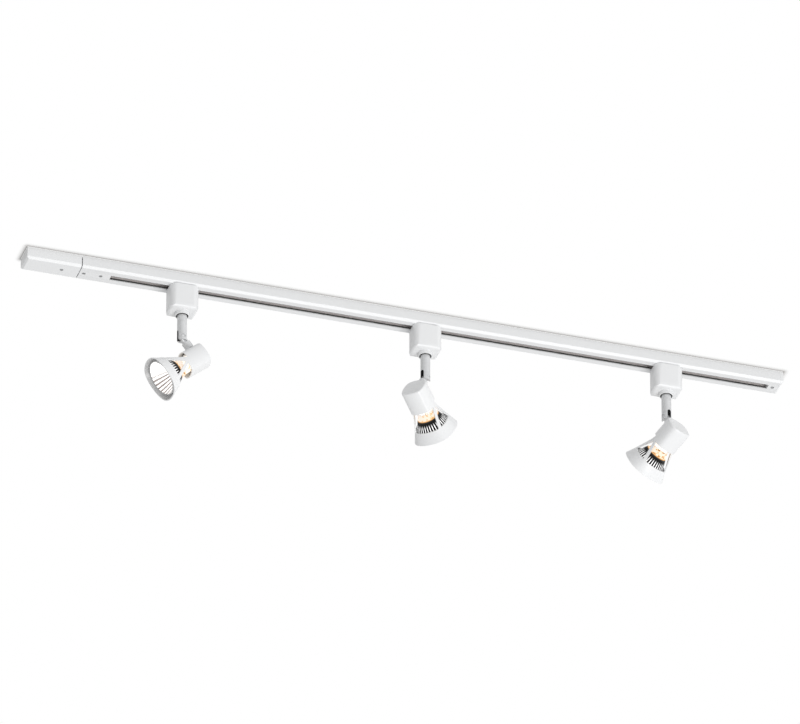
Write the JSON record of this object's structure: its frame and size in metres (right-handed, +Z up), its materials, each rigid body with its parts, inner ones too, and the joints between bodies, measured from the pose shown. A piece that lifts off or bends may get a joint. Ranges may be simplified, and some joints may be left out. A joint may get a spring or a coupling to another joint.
{
  "type": "track lighting fixture",
  "caption": "Surface-mounted ceiling track with live-end feed, end cap and adjustable spot heads, each on an adapter that slides, a stem that swivels and a knuckle that tilts.",
  "frame": {"origin": "middle of the track's flat ceiling face", "axes": "+X along the track from the feed to the end cap, +Z up into the ceiling, +Y to the back as seen from the room"},
  "size_m": [1.124, 0.0996, 0.1955],
  "materials": {
    "white_track": "satin white powder coat",
    "white_moulding": "smooth white moulded polycarbonate",
    "white_lacquer": "gloss white stove enamel on die-cast metal",
    "grey_insulator": "grey extruded insulator",
    "copper": "bright copper strip",
    "zinc_plate": "zinc-plated steel",
    "brass": "bright brass",
    "ceramic": "glazed white ceramic",
    "satin_metal": "satin grey metal",
    "amber_glass": "lit amber glass",
    "reflector_glass": "faceted mirror coating on pressed glass",
    "clear_glass": "clear pressed glass",
    "burner_glass": "lit quartz capsule"
  },
  "bodies": {
    "track": {"track_channel": "white_track", "insulator_strips": "grey_insulator", "copper_strips": "copper", "feed_base": "zinc_plate", "feed_cover": "white_moulding", "feed_tongue": "white_moulding", "terminal_block": "ceramic", "terminal_screws": "brass", "feed_contacts": "brass", "end_cap": "white_moulding", "track_screws": "zinc_plate"},
    "adapter_left": {"adapter_housing_left": "white_moulding", "adapter_neck_left": "white_moulding", "adapter_contacts_left": "brass"},
    "stem_left": {"stem_tube_left": "satin_metal", "stem_nut_left": "zinc_plate", "stem_fork_left": "satin_metal", "pivot_screw_left": "satin_metal"},
    "lamp_left": {"knuckle_left": "satin_metal", "spigot_nut_left": "zinc_plate", "lamp_housing_left": "white_lacquer", "lamp_socket_left": "ceramic", "socket_screws_left": "zinc_plate", "lamp_base_left": "amber_glass", "lamp_reflector_left": "reflector_glass", "lamp_glass_left": "clear_glass", "lamp_burner_left": "burner_glass"},
    "adapter_middle": {"adapter_housing_middle": "white_moulding", "adapter_neck_middle": "white_moulding", "adapter_contacts_middle": "brass"},
    "stem_middle": {"stem_tube_middle": "satin_metal", "stem_nut_middle": "zinc_plate", "stem_fork_middle": "satin_metal", "pivot_screw_middle": "satin_metal"},
    "lamp_middle": {"knuckle_middle": "satin_metal", "spigot_nut_middle": "zinc_plate", "lamp_housing_middle": "white_lacquer", "lamp_socket_middle": "ceramic", "socket_screws_middle": "zinc_plate", "lamp_base_middle": "amber_glass", "lamp_reflector_middle": "reflector_glass", "lamp_glass_middle": "clear_glass", "lamp_burner_middle": "burner_glass"},
    "adapter_right": {"adapter_housing_right": "white_moulding", "adapter_neck_right": "white_moulding", "adapter_contacts_right": "brass"},
    "stem_right": {"stem_tube_right": "satin_metal", "stem_nut_right": "zinc_plate", "stem_fork_right": "satin_metal", "pivot_screw_right": "satin_metal"},
    "lamp_right": {"knuckle_right": "satin_metal", "spigot_nut_right": "zinc_plate", "lamp_housing_right": "white_lacquer", "lamp_socket_right": "ceramic", "socket_screws_right": "zinc_plate", "lamp_base_right": "amber_glass", "lamp_reflector_right": "reflector_glass", "lamp_glass_right": "clear_glass", "lamp_burner_right": "burner_glass"}
  },
  "joints": [
    {"name": "slide_left", "type": "slide", "parent": "track", "child": "adapter_left", "axis": [1, 0, 0], "range_m": [-0.084, 0.09]},
    {"name": "swivel_left", "type": "hinge", "parent": "adapter_left", "child": "stem_left", "pos_m": [-0.329, 0, -0.0564], "axis": [0, 0, 1], "range_deg": [-256, 70]},
    {"name": "tilt_left", "type": "hinge", "parent": "stem_left", "child": "lamp_left", "pos_m": [-0.329, 0, -0.0979], "axis": [0.0523, -0.9986, 0], "range_deg": [-38.3, 51.7]},
    {"name": "slide_middle", "type": "slide", "parent": "track", "child": "adapter_middle", "axis": [1, 0, 0], "range_m": [-0.09, 0.09]},
    {"name": "swivel_middle", "type": "hinge", "parent": "adapter_middle", "child": "stem_middle", "pos_m": [0.031, 0, -0.0564], "axis": [0, 0, 1], "range_deg": [-101, 225]},
    {"name": "tilt_middle", "type": "hinge", "parent": "stem_middle", "child": "lamp_middle", "pos_m": [0.031, 0, -0.0979], "axis": [-0.4695, 0.8829, 0], "range_deg": [-28.3, 61.7]},
    {"name": "slide_right", "type": "slide", "parent": "track", "child": "adapter_right", "axis": [1, 0, 0], "range_m": [-0.09, 0.09]},
    {"name": "swivel_right", "type": "hinge", "parent": "adapter_right", "child": "stem_right", "pos_m": [0.391, 0, -0.0564], "axis": [0, 0, 1], "range_deg": [-183, 143]},
    {"name": "tilt_right", "type": "hinge", "parent": "stem_right", "child": "lamp_right", "pos_m": [0.391, 0, -0.0979], "axis": [-0.9397, -0.342, 0], "range_deg": [-29, 61]}
  ]
}
